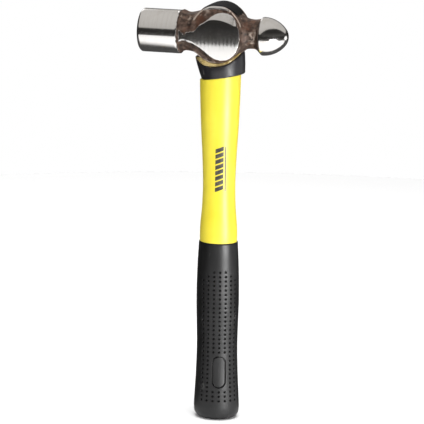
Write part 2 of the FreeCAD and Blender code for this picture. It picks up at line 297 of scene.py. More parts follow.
# %% Material: head steel
def head_steel():
    material, tree, shader, where = start_material("head_steel")
    links = tree.links
    ground = tree.nodes.new("ShaderNodeAttribute")
    ground.attribute_name = "ground"
    turned = tree.nodes.new("ShaderNodeAttribute")
    turned.attribute_name = "turned"
    pits_wear_and_highlight = tree.nodes.new("ShaderNodeAttribute")
    pits_wear_and_highlight.attribute_name = "pits_wear_and_highlight"

    mottle = add_noise(tree, where, 260.0, 6.0, 0.68)
    patch = add_noise(tree, where, 90.0, 4.0, 0.6)
    scale_colour = add_mix(tree, add_range(tree, mottle, 0.36, 0.66), (0.016, 0.009, 0.006),
                           (0.110, 0.070, 0.052))
    warm_scale = add_mix(tree, add_range(tree, patch, 0.50, 0.66, 0.0, 0.6), scale_colour,
                         (0.095, 0.036, 0.018))
    # Raised spots of the skin are lightened as worn steel; along the boss rim the same light
    # colour is partly a painted edge highlight, and on the neck's side strip it is a painted
    # highlight.
    worn_spots_and_highlight = add_range(tree, pits_wear_and_highlight.outputs["Fac"], 0.60, 0.95)
    forged = add_mix(tree, worn_spots_and_highlight, warm_scale, (0.36, 0.29, 0.24))

    up_down = place_group(tree, ground_lines, add_mapping(tree, where, (2600, 2600, 70)))
    around = place_group(tree, ground_lines, add_mapping(tree, where, (3800, 60, 60)))
    lines = add_mix(tree, turned.outputs["Fac"], up_down["Lines"], around["Lines"])
    bands = add_mix(tree, turned.outputs["Fac"], up_down["Bands"], around["Bands"])
    steel = add_mix(tree, bands, (0.72, 0.70, 0.68), (0.82, 0.805, 0.79))
    smudge = add_range(tree, add_noise(tree, where, 60.0, 5.0, 0.65), 0.50, 0.72, 0.0, 0.35)
    steel = add_mix(tree, smudge, steel, (0.58, 0.53, 0.48))

    edge = add_math(tree, "ADD", ground.outputs["Fac"],
                    add_range(tree, mottle, 0.3, 0.7, -0.28, 0.28))
    mask = add_range(tree, edge, 0.38, 0.62)
    links.new(add_mix(tree, mask, forged, steel), shader.inputs["Base Color"])
    links.new(add_range(tree, mask, 0.0, 1.0, 0.35, 1.0), shader.inputs["Metallic"])
    rough_steel = add_range(tree, lines, 0.3, 0.7, 0.09, 0.17)
    rough_forged = add_range(tree, mottle, 0.3, 0.7, 0.42, 0.66)
    rough = add_mix(tree, mask, rough_forged, rough_steel)
    links.new(rough, shader.inputs["Roughness"])
    grit = add_noise(tree, where, 1400.0, 4.0, 0.7)
    forged_height = add_math(tree, "ADD", add_math(tree, "MULTIPLY", mottle, 1.0),
                             add_math(tree, "MULTIPLY", grit, 0.35))
    steel_height = add_math(tree, "MULTIPLY", lines, 0.03)
    height = add_mix(tree, mask, forged_height, steel_height)
    add_bump(tree, shader, height, 0.0003, 0.8)
    return material


steel = head_steel()

# %% [markdown]
# ## The head's shape
# On the real hammer one hot bar is forged into a poll, two necks, an eye boss and a ball. Every
# section across the long axis can be reached from the axis in a straight line, so the head is
# built as a turned blank whose points then slide in or out until they meet the shape. The shape
# is written as a distance, negative inside: unions and cuts of simple bodies with soft corners,
# which is also how a forging die rounds everything it makes.

# %% The forging as a distance in millimetres
NECK_STATIONS = {
    "height": [(-31.0, 15.9), (-26.0, 14.5), (-19.0, 15.4), (-8.0, 17.2), (8.0, 15.5),
               (19.0, 12.2), (26.0, 11.0), (33.0, 11.9)],
    "depth": [(-31.0, 16.0), (-26.0, 16.2), (-19.0, 17.3), (-8.0, 18.2), (8.0, 16.5),
              (19.0, 12.9), (26.0, 11.1), (33.0, 12.0)],
}


def soft_cut(a, b, k):
    """Intersection of two distances with a corner rounded over k."""
    h = np.maximum(k - np.abs(a - b), 0) / k
    return np.maximum(a, b) + h * h * k / 4


def soft_join(a, b, k):
    return -soft_cut(-a, -b, k)


def neck_size(kind, x):
    stations = NECK_STATIONS[kind]
    table = np.array([smooth_through(stations, v) for v in np.linspace(-31, 33, 129)])
    return np.interp(x, np.linspace(-31, 33, 129), table)


def neck_distance(x, y, z):
    """Eight-sided forged bar: flat top and foot, side strips and slopes between them.

    The bar is lifted a little beside the boss, and its upper slope starts lower at the poll.
    """
    height, depth = neck_size("height", x), neck_size("depth", x)
    lift = 1.3 * ramp(16.0, 22.0, x) + 0.9 * ramp(-14.0, -20.0, x)
    low_strip = (z > 0) * 0.24 * ramp(-12.0, -18.0, x)
    flat, strip = 0.46 * height, (0.36 - low_strip) * depth
    across, up = np.abs(y), np.abs(z - lift)
    run, rise = depth - flat, height - strip
    slope = ((across - flat) * rise + (up - height) * run) / np.hypot(run, rise)
    ends = np.maximum(-31.6 - x, x - 33.5)
    bar = soft_cut(soft_cut(up - height, across - depth, 1.0), slope, 1.8)
    return np.maximum(bar, ends)


def belt_waves(x, z):
    """The slight upright waves that a grinding belt leaves in a flat cheek."""
    along = np.sin(2.1 * x) + 0.7 * np.sin(3.7 * x + 1.0) + 0.5 * np.sin(6.1 * x + 2.0)
    return 0.045 * along * np.sin(0.21 * z + 0.6)


def cheek_distance(x, y, z):
    """A cheek ground to a barrel, which falls away a little towards the poll."""
    taper = 0.009 * np.maximum(-17.0 - x, 0) ** 2
    sag_y = np.abs(y) + CHEEK_CURVE - CHEEK_Y + taper
    return np.hypot(sag_y, z - 0.5) - CHEEK_CURVE + belt_waves(x, z)


def bevel_distance(x, y, z):
    """A second, steeper pass of the grinder across the top of each cheek."""
    lean = math.radians(21.5)
    reach = 19.8 - 0.0045 * np.minimum((x - BOSS_X) ** 2, 225.0)
    return np.abs(y) * math.cos(lean) + z * math.sin(lean) - reach


RIM_CENTRE, RIM_RING_R, RIM_SLOPE, RIM_FACE_Y = (4.2, -0.5), 16.6, 1.05, 12.8


def boss_distance(x, y, z):
    """An upright stadium with a flat rim, and a cone that rises from the rim to the cheek."""
    across = np.abs(y)
    ring = np.hypot(x - BOSS_X, z - np.clip(z, BOSS_LOW, BOSS_HIGH))
    barrel = ring - BOSS_R + 0.3 * (across / RIM_Y) ** 2
    rim = np.hypot(x - RIM_CENTRE[0], z - RIM_CENTRE[1])
    cone = (rim - RIM_RING_R + RIM_SLOPE * (across - 16.0)) / math.hypot(1, RIM_SLOPE)
    rim_face = across - RIM_FACE_Y
    return soft_cut(barrel, soft_join(rim_face, cone, 0.8), 0.9)


def rim_edge(x, y, z):
    """1 along the sharp outer edge of the boss, where the forging skin rubs off; the light colour
    laid there is also a painted edge highlight.
    """
    ring = np.hypot(x - BOSS_X, z - np.clip(z, BOSS_LOW, BOSS_HIGH))
    off_edge = np.hypot(ring - BOSS_R + 0.4, np.abs(y) - RIM_FACE_Y + 0.2)
    return ramp(1.3, 0.4, off_edge)


FLANK_CENTRE, FLANK_R, TIP_JOIN_X = (34.1, -7.2), 22.1, 51.4


def ball_distance(x, rho):
    """A bulging flank, a spherical tip and a rim that is undercut towards the neck."""
    flank = np.hypot(x - FLANK_CENTRE[0], rho - FLANK_CENTRE[1]) - FLANK_R
    tip = np.hypot(x - (TIP_X - TIP_R), rho) - TIP_R
    body = np.where(x < TIP_JOIN_X, flank, tip)
    undercut = (rho - RIM_R - (x - RIM_X)) / math.sqrt(2)
    return soft_cut(body, undercut, 0.5)


def poll_distance(x, rho):
    """A cylinder with a crowned, chamfered face and a square shoulder at the neck."""
    side = rho - POLL_R
    crown = FACE_X + FACE_CROWN * ramp(6.0, 16.0, rho) - x
    chamfer = (rho - x - CHAMFER_SUM) / math.sqrt(2)
    shoulder = x - NECK_FOOT_X + 0.15 * (rho - POLL_R)
    body = soft_cut(soft_cut(side, chamfer, 0.4), crown, 0.3)
    return soft_cut(body, shoulder, 0.5)


def head_distance(x, y, z):
    """The whole head: forging, ground cheeks, poll and ball."""
    rho = np.hypot(y, z)
    forging = soft_join(boss_distance(x, y, z), neck_distance(x, y, z), 5.0)
    ground = np.maximum(cheek_distance(x, y, z), bevel_distance(x, y, z))
    forging = soft_cut(forging, ground, 0.35)
    ends = np.minimum(poll_distance(x, rho), ball_distance(x, rho))
    return soft_join(forging, ends, 0.8)


# %% [markdown]
# The blank is an outline spun about the head's long axis. Rings are 0.42 mm apart along the
# necks and the boss, where the forging skin needs real pits, and wider on the plain poll. The
# two ends keep their turned shape; everything between is slid onto the forging.

# %% Build the head
def blank_outline():
    points = [(FACE_X, 0.0)]
    face_rings = (4.0, 7.0, 10.0, 13.0)
    points += [(FACE_X + FACE_CROWN * float(ramp(6.0, 16.0, r)), r) for r in face_rings]
    stations = list(np.arange(FACE_X + 0.62, -31.6, 1.0))
    stations[1:1] = [FACE_X + 0.9, FACE_X + 1.3, FACE_X + 1.7, FACE_X + 2.1]
    stations = sorted(stations)
    stations += list(np.arange(-31.5, 33.4, 0.42)) + list(np.arange(33.7, TIP_X - 2.6, 0.55))
    points += [(s, 15.0) for s in stations]
    for turn in np.linspace(math.radians(39), 0, 9):
        points.append((TIP_X - TIP_R + TIP_R * math.cos(turn), TIP_R * math.sin(turn)))
    return points


def slide_to_forging(x, cos_t, sin_t):
    """Distance from the axis at which each ray leaves the head, by halving."""
    low, high = np.full_like(x, 2.0), np.full_like(x, 27.0)
    for _ in range(26):
        middle = (low + high) / 2
        inside = head_distance(x, middle * cos_t, middle * sin_t) < 0
        low = np.where(inside, middle, low)
        high = np.where(inside, high, middle)
    return (low + high) / 2


def pit_pattern(point):
    """Forging skin, from -1 in a pit to about 1 on a raised spot."""
    lumps = noise.noise(point * 330.0) * 0.7 + noise.noise(point * 140.0) * 0.5
    cell = noise.cell(point * 300.0)
    pits = noise.turbulence(point * 480.0, 3, True) - 0.42
    return lumps - 1.3 * max(pits, 0.0) + 0.12 * cell


def build_head():
    outline = blank_outline()
    bm = turn_outline([(x, 0.0, r) for x, r in outline], (1, 0, 0), 288)
    ground_layer = bm.verts.layers.float.new("ground")
    turned_layer = bm.verts.layers.float.new("turned")
    pits_wear_and_highlight_layer = bm.verts.layers.float.new("pits_wear_and_highlight")
    verts = list(bm.verts)
    place = np.array([v.co for v in verts]) / MM
    x, rho = place[:, 0], np.hypot(place[:, 1], place[:, 2])
    moving = (x > FACE_X + 0.6) & (x < TIP_X - 2.4) & (rho > 1.0)
    cos_t = np.where(rho > 0, place[:, 1] / np.maximum(rho, 1e-9), 1.0)
    sin_t = np.where(rho > 0, place[:, 2] / np.maximum(rho, 1e-9), 0.0)
    rho[moving] = slide_to_forging(x[moving], cos_t[moving], sin_t[moving])
    y, z = rho * cos_t, rho * sin_t
    for vert, px, py, pz in zip(verts, x, y, z):
        vert.co = Vector((px, py, pz)) * MM
    bm.normal_update()
    turned_part = np.maximum(ramp(-31.3, -31.7, x), ramp(32.9, 33.5, x))
    grind = np.maximum(cheek_distance(x, y, z), bevel_distance(x, y, z))
    on_boss = ramp(-31.0, -28.5, x) * ramp(25.0, 21.0, x)
    # The side strip of the neck by the ball is lightened as a painted highlight.
    thin_strip = ramp(23.2, 24.2, x) * ramp(31.4, 30.2, x) * ramp(5.4, 4.0, np.abs(z))
    ground_part = np.maximum(turned_part, ramp(-0.32, -0.04, grind) * on_boss)
    # The boss rim is lightened partly as real wear and partly as a painted edge highlight.
    rubbed = np.maximum(0.4 * thin_strip, rim_edge(x, y, z) * ramp(-31.0, -20.0, x))
    for vert, ground, turned, wear_and_highlight in zip(verts, ground_part, turned_part, rubbed):
        pattern = pit_pattern(vert.co)
        vert[ground_layer] = float(ground)
        vert[turned_layer] = float(turned)
        vert[pits_wear_and_highlight_layer] = 0.5 + 0.5 * pattern + 0.55 * float(wear_and_highlight)
        vert.co += vert.normal * MM * (0.16 * pattern - 0.05) * (1 - float(ground))
    bmesh.ops.translate(bm, verts=bm.verts, vec=(0, 0, HEAD_Z * MM))
    return finish_piece("head_forging", bm, steel, 30)


head = build_head()
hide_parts("hammer_head")

# %% [markdown]
# ## Black seal over the boss
# After the handle is bonded in, the top of the eye is painted over with a black seal. It is a
# thin film, so it is a patch of the head's own surface, lifted by a fraction of a millimetre and
# let down under the surface at its edge, where a brush would leave a wavy line.

# %% Material: black seal
def black_seal():
    material, tree, shader, where = start_material("black_seal")
    skin = place_group(tree, moulded_skin, where, Grain_Scale=900.0, Scuff_Amount=0.8)
    base = add_mix(tree, add_range(tree, skin["Tone"], 0.35, 0.65), (0.004, 0.004, 0.004),
                   (0.012, 0.012, 0.013))
    worn = add_mix(tree, skin["Scuffs"], base, (0.09, 0.075, 0.06))
    tree.links.new(worn, shader.inputs["Base Color"])
    tree.links.new(add_range(tree, skin["Tone"], 0.3, 0.7, 0.52, 0.70), shader.inputs["Roughness"])
    shader.inputs["Specular IOR Level"].default_value = 0.1
    add_bump(tree, shader, skin["Tone"], 0.0004, 0.5)
    return material


# %% Build the seal
SEAL_HALF, SEAL_SPREAD, SEAL_LIFT = 15.2, math.radians(28), 0.7


def build_seal():
    bm = bmesh.new()
    bmesh.ops.create_grid(bm, x_segments=84, y_segments=72, size=1.0)
    verts = list(bm.verts)
    u = np.array([vert.co.x for vert in verts])
    v = np.array([vert.co.y for vert in verts])
    x = BOSS_X + 1.6 + SEAL_HALF * u
    turn = math.pi / 2 + SEAL_SPREAD * v
    rho = slide_to_forging(x, np.cos(turn), np.sin(turn))
    wave = np.array([noise.noise(Vector((a * 3.0, b * 3.0, 0.0))) for a, b in zip(u, v)])
    edge = 1.0 - np.maximum(np.abs(u), np.abs(v)) + 0.05 * wave
    rho = rho + SEAL_LIFT * ramp(0.0, 0.13, edge) - 0.25 * ramp(0.05, 0.0, edge)
    for vert, px, r, t in zip(verts, x, rho, turn):
        vert.co = Vector((px, r * math.cos(t), HEAD_Z + r * math.sin(t))) * MM
    bmesh.ops.recalc_face_normals(bm, faces=bm.faces)
    if sum(face.normal.z for face in bm.faces) < 0:
        bmesh.ops.reverse_faces(bm, faces=bm.faces)
    bmesh.ops.solidify(bm, geom=bm.faces[:], thickness=0.3 * MM)
    return finish_piece("boss_seal", bm, black_seal(), 60)


seal = build_seal()
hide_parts("eye_cap")

# %% [markdown]
# ## Overstrike collar
# A soft rubber collar sits under the head and takes the missed blows. It is an oval cup, tilted
# down towards the striking face, with a saddle in its top that follows the boss. It is built
# from one ring of points: the ring is extruded again and again, up the outside, over the lip,
# across the saddle and back down inside the hole, and the last ring is joined to the first.

# %% Material: black rubber, for the collar, the grip and its pad
def black_rubber(name, base_dark, base_light, rough_low, rough_high, scuff, grain):
    material, tree, shader, where = start_material(name)
    skin = place_group(tree, moulded_skin, where, Grain_Scale=grain, Scuff_Amount=scuff)
    base = add_mix(tree, add_range(tree, skin["Tone"], 0.32, 0.68), base_dark, base_light)
    # Painted shade: the grip's dimples are darkened to near black by their depth, and made
    # rougher.
    painted_dimple_shade = tree.nodes.new("ShaderNodeAttribute")
    painted_dimple_shade.attribute_name = "painted_dimple_shade"
    base = add_mix(tree, painted_dimple_shade.outputs["Fac"], base, (0.001, 0.001, 0.001))
    dusty = add_mix(tree, skin["Scuffs"], base, (0.16, 0.155, 0.15))
    tree.links.new(dusty, shader.inputs["Base Color"])
    rough = add_range(tree, skin["Tone"], 0.3, 0.7, rough_low, rough_high)
    rough = add_math(tree, "ADD", rough, add_math(tree, "MULTIPLY", skin["Scuffs"], 0.15), True)
    rough = add_math(tree, "ADD", rough, painted_dimple_shade.outputs["Fac"], True)
    tree.links.new(rough, shader.inputs["Roughness"])
    shader.inputs["Specular IOR Level"].default_value = 0.45
    height = add_math(tree, "ADD", add_math(tree, "MULTIPLY", skin["Grain"], 0.3),
                      add_math(tree, "MULTIPLY", skin["Tone"], 0.7))
    add_bump(tree, shader, height, 0.0002, 0.55)
    return material


collar_rubber = black_rubber("collar_rubber", (0.007, 0.007, 0.009), (0.017, 0.016, 0.018),
                             0.30, 0.44, 0.9, 1300.0)
grip_rubber = black_rubber("grip_rubber", (0.0015, 0.0015, 0.0017), (0.005, 0.005, 0.0053),
                           0.34, 0.46, 0.35, 1700.0)
pad_rubber = black_rubber("pad_rubber", (0.002, 0.002, 0.0022), (0.005, 0.005, 0.0053),
                          0.34, 0.44, 0.25, 2100.0)

# %% Build the collar
COLLAR_X, COLLAR_Z, COLLAR_FOOT, COLLAR_TOP = 0.9, 281.9, -8.8, 9.6
COLLAR_TILT = Matrix.Rotation(math.radians(-9.5), 3, "Y")
COLLAR_FLATNESS = 0.87
COLLAR_LOW, COLLAR_HIGH = (-7.0, 17.5), (9.6, 19.8)
SEAT_X, SEAT_R = -2.6, 24.1


def collar_point(x, y, h):
    """From the collar's own upright frame to the hammer's, in millimetres."""
    return COLLAR_TILT @ Vector((x, y, h)) + Vector((COLLAR_X, 0, COLLAR_Z))


def collar_half(h):
    """Half width of the wall, which widens evenly upwards."""
    (low, narrow), (high, wide) = COLLAR_LOW, COLLAR_HIGH
    return narrow + (wide - narrow) * (h - low) / (high - low)


def seat_height(x, y):
    """Where an upright line in the collar's frame meets the saddle or the rim."""
    low, high = COLLAR_FOOT, COLLAR_TOP
    for _ in range(18):
        middle = (low + high) / 2
        p = collar_point(x, y, middle)
        seat = SEAT_R - math.hypot(p.x - SEAT_X, p.z - HEAD_Z)
        up = p.z - HEAD_Z
        boss = BOSS_R + 0.05 - math.hypot(p.x - BOSS_X, min(up - BOSS_LOW, 0.0))
        if max(seat, boss) > 0:
            high = middle
        else:
            low = middle
    return (low + high) / 2


def collar_rings(turn):
    """The points of one side outline of the collar, from its foot inwards over the lip."""
    c, s = math.cos(turn), COLLAR_FLATNESS * math.sin(turn)
    rings = [(13.2 * c, 13.2 * s, COLLAR_FOOT), (16.0 * c, 16.0 * s, COLLAR_FOOT)]
    for step in range(1, 6):
        a = math.pi / 2 * step / 5
        half = 16.1 + 1.3 * math.sin(a)
        rings.append((half * c, half * s, COLLAR_FOOT + 1.3 * (1 - math.cos(a))))
    lip = seat_height(18.9 * c, 18.9 * s)
    wall_top = lip - 1.0
    for step in range(1, 9):
        h = COLLAR_FOOT + 1.3 + (wall_top - COLLAR_FOOT - 1.3) * step / 8
        half = collar_half(h) - 0.1 + 0.25 * math.sin(math.pi * step / 8)
        rings.append((half * c, half * s, h))
    top_half = collar_half(wall_top) - 0.1
    for step in range(1, 5):
        a = math.pi / 2 * step / 5
        half = top_half - 0.9 * (1 - math.cos(a))
        rings.append((half * c, half * s, wall_top + 0.9 * math.sin(a)))
    for part in (0.90, 0.85, 0.80, 0.75, 0.70):
        px, py = 19.2 * part * c, 19.2 * part * s
        rings.append((px, py, seat_height(px, py) - 0.1))
    rings.append((12.7 * c, 12.7 * s, seat_height(12.7 * c, 12.7 * s) - 1.2))
    return rings


def build_collar():
    sides = 176
    bm = bmesh.new()
    bmesh.ops.create_circle(bm, segments=sides, radius=1.0)
    bm.verts.ensure_lookup_table()
    outlines = [collar_rings(math.atan2(v.co.y, v.co.x)) for v in bm.verts]
    ring_verts, ring_edges = list(bm.verts), list(bm.edges)
    order = {vert: k for k, vert in enumerate(ring_verts)}
    first_edges = ring_edges
    for vert in ring_verts:
        vert.co = collar_point(*outlines[order[vert]][0]) * MM
    for level in range(1, len(outlines[0])):
        made = bmesh.ops.extrude_edge_only(bm, edges=ring_edges)["geom"]
        new_verts = [g for g in made if isinstance(g, bmesh.types.BMVert)]
        ring_edges = [g for g in made if isinstance(g, bmesh.types.BMEdge)
                      and all(v in set(new_verts) for v in g.verts)]
        old = {}
        for vert in new_verts:
            below = next(e.other_vert(vert) for e in vert.link_edges if e not in ring_edges
                         and e.other_vert(vert) in order)
            old[vert] = order[below]
        order = old
        for vert in new_verts:
            vert.co = collar_point(*outlines[order[vert]][level]) * MM
    bmesh.ops.bridge_loops(bm, edges=first_edges + ring_edges)
    bmesh.ops.recalc_face_normals(bm, faces=bm.faces)
    bm.normal_update()
    for vert in bm.verts:
        worn = noise.noise(vert.co * 160.0) * 0.10 + noise.noise(vert.co * 420.0) * 0.05
        vert.co += vert.normal * worn * MM
    return finish_piece("collar_cup", bm, collar_rubber, 50)


collar = build_collar()
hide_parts("overstrike_collar")

# %% [markdown]
# ## Cast resin
# The handle is bonded in by pouring resin into the eye, and some of it oozes out over the
# collar on the low side. A cast surface is rounded everywhere by surface tension. The CAD solid
# has the right place but hard edges, so a copy of it is merged, remeshed finely and smoothed,
# and the resin material's bump gives it slow lumps.

# %% Material: amber resin
def amber_resin():
    material, tree, shader, where = start_material("amber_resin")
    cloud = add_noise(tree, where, 130.0, 6.0, 0.65)
    dirt = add_noise(tree, where, 420.0, 4.0, 0.7)
    body = add_mix(tree, add_range(tree, cloud, 0.38, 0.62), (0.20, 0.13, 0.035),
                   (0.38, 0.29, 0.12))
    stained = add_mix(tree, add_range(tree, dirt, 0.54, 0.70, 0.0, 0.7), body,
                      (0.055, 0.035, 0.018))
    tree.links.new(stained, shader.inputs["Base Color"])
    tree.links.new(add_range(tree, cloud, 0.3, 0.7, 0.22, 0.42), shader.inputs["Roughness"])
    shader.inputs["Coat Weight"].default_value = 0.4
    shader.inputs["Coat Roughness"].default_value = 0.12
    add_bump(tree, shader, cloud, 0.0006, 0.6)
    return material


# %% Build the resin
def melted_copy(node, name, voxel, smoothing, material):
    """A merged copy of a CAD node, remeshed to small faces with softened edges."""
    bm = bmesh.new()
    bm.from_mesh(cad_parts[node].data)
    bmesh.ops.remove_doubles(bm, verts=bm.verts, dist=1e-6)
    piece = finish_piece(name, bm, material, 180)
    remesh = piece.modifiers.new("remesh", "REMESH")
    remesh.mode = "VOXEL"
    remesh.voxel_size = voxel * MM
    remesh.use_smooth_shade = True
    relax = piece.modifiers.new("relax", "SMOOTH")
    relax.factor = 0.5
    relax.iterations = smoothing
    graph = bpy.context.evaluated_depsgraph_get()
    mesh = bpy.data.meshes.new_from_object(piece.evaluated_get(graph))
    piece.modifiers.clear()
    piece.data = mesh
    print(f"{name}: {len(mesh.polygons)} faces after remeshing")
    return piece


resin = melted_copy("eye_resin", "resin_bead", 0.45, 6, amber_resin())
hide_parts("eye_resin")

# %% [markdown]
# ## Yellow jacket
# The jacket is injection moulded around the fibreglass rod. Its side outline is a smooth curve
# through a few widths: wide at the head, waisted where the fingers pass, wide again at the grip.
# The outline is spun and then flattened to the handle's oval. The shoulder under the collar is
# cut off at the collar's tilt, so the two meet without a gap.

# %% Material: yellow moulded plastic
def yellow_plastic():
    material, tree, shader, where = start_material("yellow_jacket")
    skin = place_group(tree, moulded_skin, where, Grain_Scale=800.0, Scuff_Amount=0.45)
    base = add_mix(tree, add_range(tree, skin["Tone"], 0.30, 0.70), (0.655, 0.540, 0.018),
                   (0.705, 0.595, 0.031))
    flow = add_noise(tree, add_mapping(tree, where, (90, 90, 9)), 1.0, 3.0, 0.5)
    base = add_mix(tree, add_range(tree, flow, 0.45, 0.70, 0.0, 0.30), base, (0.82, 0.70, 0.07))
    marked = add_mix(tree, skin["Scuffs"], base, (0.62, 0.47, 0.05))
    tree.links.new(marked, shader.inputs["Base Color"])
    rough = add_range(tree, skin["Tone"], 0.3, 0.7, 0.40, 0.52)
    rough = add_math(tree, "ADD", rough, add_math(tree, "MULTIPLY", skin["Scuffs"], 0.3), True)
    tree.links.new(rough, shader.inputs["Roughness"])
    shader.inputs["Coat Weight"].default_value = 0.2
    shader.inputs["Coat Roughness"].default_value = 0.3
    height = add_math(tree, "ADD", add_math(tree, "MULTIPLY", skin["Grain"], 0.12),
                      add_math(tree, "MULTIPLY", flow, 0.88))
    add_bump(tree, shader, height, 0.00025, 0.5)
    return material


# %% Build the jacket
JACKET_STATIONS = [(10.0, 11.0), (60.0, 11.0), (110.0, 11.8), (141.0, 14.6), (153.0, 14.65),
                   (170.0, 13.3), (187.0, 12.75), (210.0, 13.5), (240.0, 15.1), (264.0, 15.9),
                   (275.0, 16.1)]
JACKET_BORE = 9.9


def build_jacket():
    foot, top = JACKET_STATIONS[0][0], JACKET_STATIONS[-1][0]
    outline = [(JACKET_BORE, 0.0, foot)]
    outline += [(smooth_through(JACKET_STATIONS, h), 0.0, h)
                for h in np.arange(foot, top + 0.1, 1.25)]
    outline += [(10.0, 0.0, top), (JACKET_BORE, 0.0, 140.0), outline[0]]
    bm = turn_outline(outline, (0, 0, 1), 160)
    bmesh.ops.scale(bm, verts=bm.verts, vec=(1.0, OVAL, 1.0))
    for vert in bm.verts:
        ripple = noise.noise(vert.co * 55.0) * 0.05
        outward = Vector((vert.co.x, vert.co.y, 0)).normalized()
        vert.co += outward * ripple * MM
    cut_at = collar_point(0, 0, COLLAR_FOOT) * MM
    cut_normal = COLLAR_TILT @ Vector((0, 0, 1))
    everything = bm.verts[:] + bm.edges[:] + bm.faces[:]
    cut = bmesh.ops.bisect_plane(bm, geom=everything, dist=1e-6, plane_co=cut_at,
                                 plane_no=cut_normal, clear_outer=True)
    rims = [g for g in cut["geom_cut"] if isinstance(g, bmesh.types.BMEdge)]
    bmesh.ops.bridge_loops(bm, edges=rims)
    bmesh.ops.recalc_face_normals(bm, faces=bm.faces)
    return finish_piece("jacket_body", bm, yellow_plastic(), 50)


jacket = build_jacket()
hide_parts("handle_jacket")

# %% [markdown]
# ## Printed mark
# The real jacket carries a maker's print. A plain device of slanted bars and a thin line stands
# in its place. Ink is a film, so each shape is a small grid of faces that is laid on the oval of
# the jacket and lifted by a few hundredths of a millimetre.

# %% Material: printed ink
def printed_ink():
    material, tree, shader, where = start_material("print_ink")
    speck = add_noise(tree, where, 1900.0, 4.0, 0.7)
    rubbed = add_noise(tree, where, 260.0, 5.0, 0.65)
    wear = add_range(tree, add_math(tree, "ADD", add_math(tree, "MULTIPLY", speck, 0.5),
                                    add_math(tree, "MULTIPLY", rubbed, 0.5)), 0.56, 0.66)
    ink = add_mix(tree, add_range(tree, rubbed, 0.35, 0.65), (0.020, 0.019, 0.016),
                  (0.055, 0.052, 0.040))
    tree.links.new(add_mix(tree, wear, ink, (0.42, 0.33, 0.05)), shader.inputs["Base Color"])
    tree.links.new(add_range(tree, rubbed, 0.3, 0.7, 0.34, 0.50), shader.inputs["Roughness"])
    add_bump(tree, shader, speck, 0.00005, 0.4)
    return material


# %% Build the mark
def on_jacket(across, height, lift):
    """A point on the jacket: arc distance from the mark's middle line, and height, in mm."""
    half = smooth_through(JACKET_STATIONS, height)
    middle = math.atan2(math.cos(PAD_TURN) / OVAL, math.sin(PAD_TURN))
    turn = -middle + across / (half * 0.98)
    x, y = half * math.cos(turn), half * OVAL * math.sin(turn)
    outward = Vector((x * OVAL * OVAL, y, 0)).normalized()
    return (Vector((x, y, height)) + outward * lift) * MM


def lay_patch(bm, left, right, foot, top, slant):
    """A parallelogram of ink; its sides lean up by slant millimetres from left to right."""
    patch = bmesh.ops.create_grid(bm, x_segments=14, y_segments=6, size=0.5)["verts"]
    for vert in patch:
        across = left + (right - left) * (vert.co.x + 0.5)
        rise = slant * vert.co.x
        height = foot + (top - foot) * (vert.co.y + 0.5) + rise
        vert.co = on_jacket(across, height, 0.07)


BARS, BAR, GAP, FIRST_BAR_Z = 8, 3.3, 1.1, 184.6
BAR_LEFT, BAR_RIGHT, BAR_SLANT = -4.5, 1.9, 2.6
LINE_LEFT, LINE_RIGHT, LINE_FOOT, LINE_TOP = 3.0, 3.9, 184.0, 219.6


def build_mark():
    bm = bmesh.new()
    for k in range(BARS):
        foot = FIRST_BAR_Z + k * (BAR + GAP)
        lay_patch(bm, BAR_LEFT, BAR_RIGHT, foot, foot + BAR, BAR_SLANT)
    lay_patch(bm, LINE_LEFT, LINE_RIGHT, LINE_FOOT, LINE_TOP, 0.0)
    bmesh.ops.recalc_face_normals(bm, faces=bm.faces)
    centre = Vector((0, 0, 0.2))
    inward = [f for f in bm.faces if f.normal.dot(f.calc_center_median() - centre) < 0]
    bmesh.ops.reverse_faces(bm, faces=inward)
    bmesh.ops.solidify(bm, geom=bm.faces[:], thickness=0.12 * MM)
    return finish_piece("printed_bars", bm, printed_ink(), 50)


build_mark()

# %% [markdown]
# ## Rubber grip
# The grip is a thick sleeve with a grid of round dimples on its front and back. Each dimple has
# to be a real hollow with a round edge. A plain grid of faces would give square ones, so the
# points around each dimple are first moved onto circles and then pushed in. Twenty-two columns
# fit around the sleeve, and every cell of the pattern is eight faces wide and eight high.

# %% Build the grip
BUTT_ROUND = 6.2
GRIP_STATIONS = [(BUTT_ROUND, 17.8), (10.0, 18.0), (38.0, 16.65), (60.0, 16.15), (95.0, 16.85),
                 (120.0, 16.45), (GRIP_TOP, 15.35)]
COLUMNS, CELL = 22, 8
ROWS, ROW_PITCH, LAST_ROW_Z = 30, 3.579, 16.1
FIELD_FOOT = LAST_ROW_Z - ROW_PITCH / 2
FIELD_TOP = FIELD_FOOT + ROWS * ROW_PITCH
PAD_MIDDLE = -math.atan2(math.cos(PAD_TURN) / OVAL, math.sin(PAD_TURN))
DIMPLE_RING = (0.0, 0.48, 0.86, 1.06)
DIMPLE_DEPTH = (1.25, 1.20, 0.95, 0.03)


def grip_outline():
    """The flat butt, its rounding, the side, the rounded lip and the bore, outside first."""
    points = [(0.0, 0.0), (4.0, 0.0), (8.5, 0.0)]
    flat = GRIP_STATIONS[0][1] - BUTT_ROUND
    for step in range(8):
        a = math.pi / 2 * step / 7
        points.append((flat + BUTT_ROUND * math.sin(a), BUTT_ROUND * (1 - math.cos(a))))
    field = np.linspace(FIELD_FOOT, FIELD_TOP, ROWS * CELL + 1)
    heights = list(np.linspace(7.0, FIELD_FOOT, 11))[:-1] + list(field)
    heights += list(np.linspace(FIELD_TOP, 140.8, 15))[1:]
    points += [(smooth_through(GRIP_STATIONS, h), h) for h in heights]
    edge = smooth_through(GRIP_STATIONS, 142.0)
    for step in range(1, 6):
        a = math.pi / 2 * step / 5
        points.append((edge - 0.7 * (1 - math.cos(a)), 141.4 + 1.1 * math.sin(a)))
    points += [(14.2, 142.3), (13.9, 140.0), (11.7, 108.0), (10.9, 60.0), (10.9, 9.5), (0.0, 9.5)]
    return points


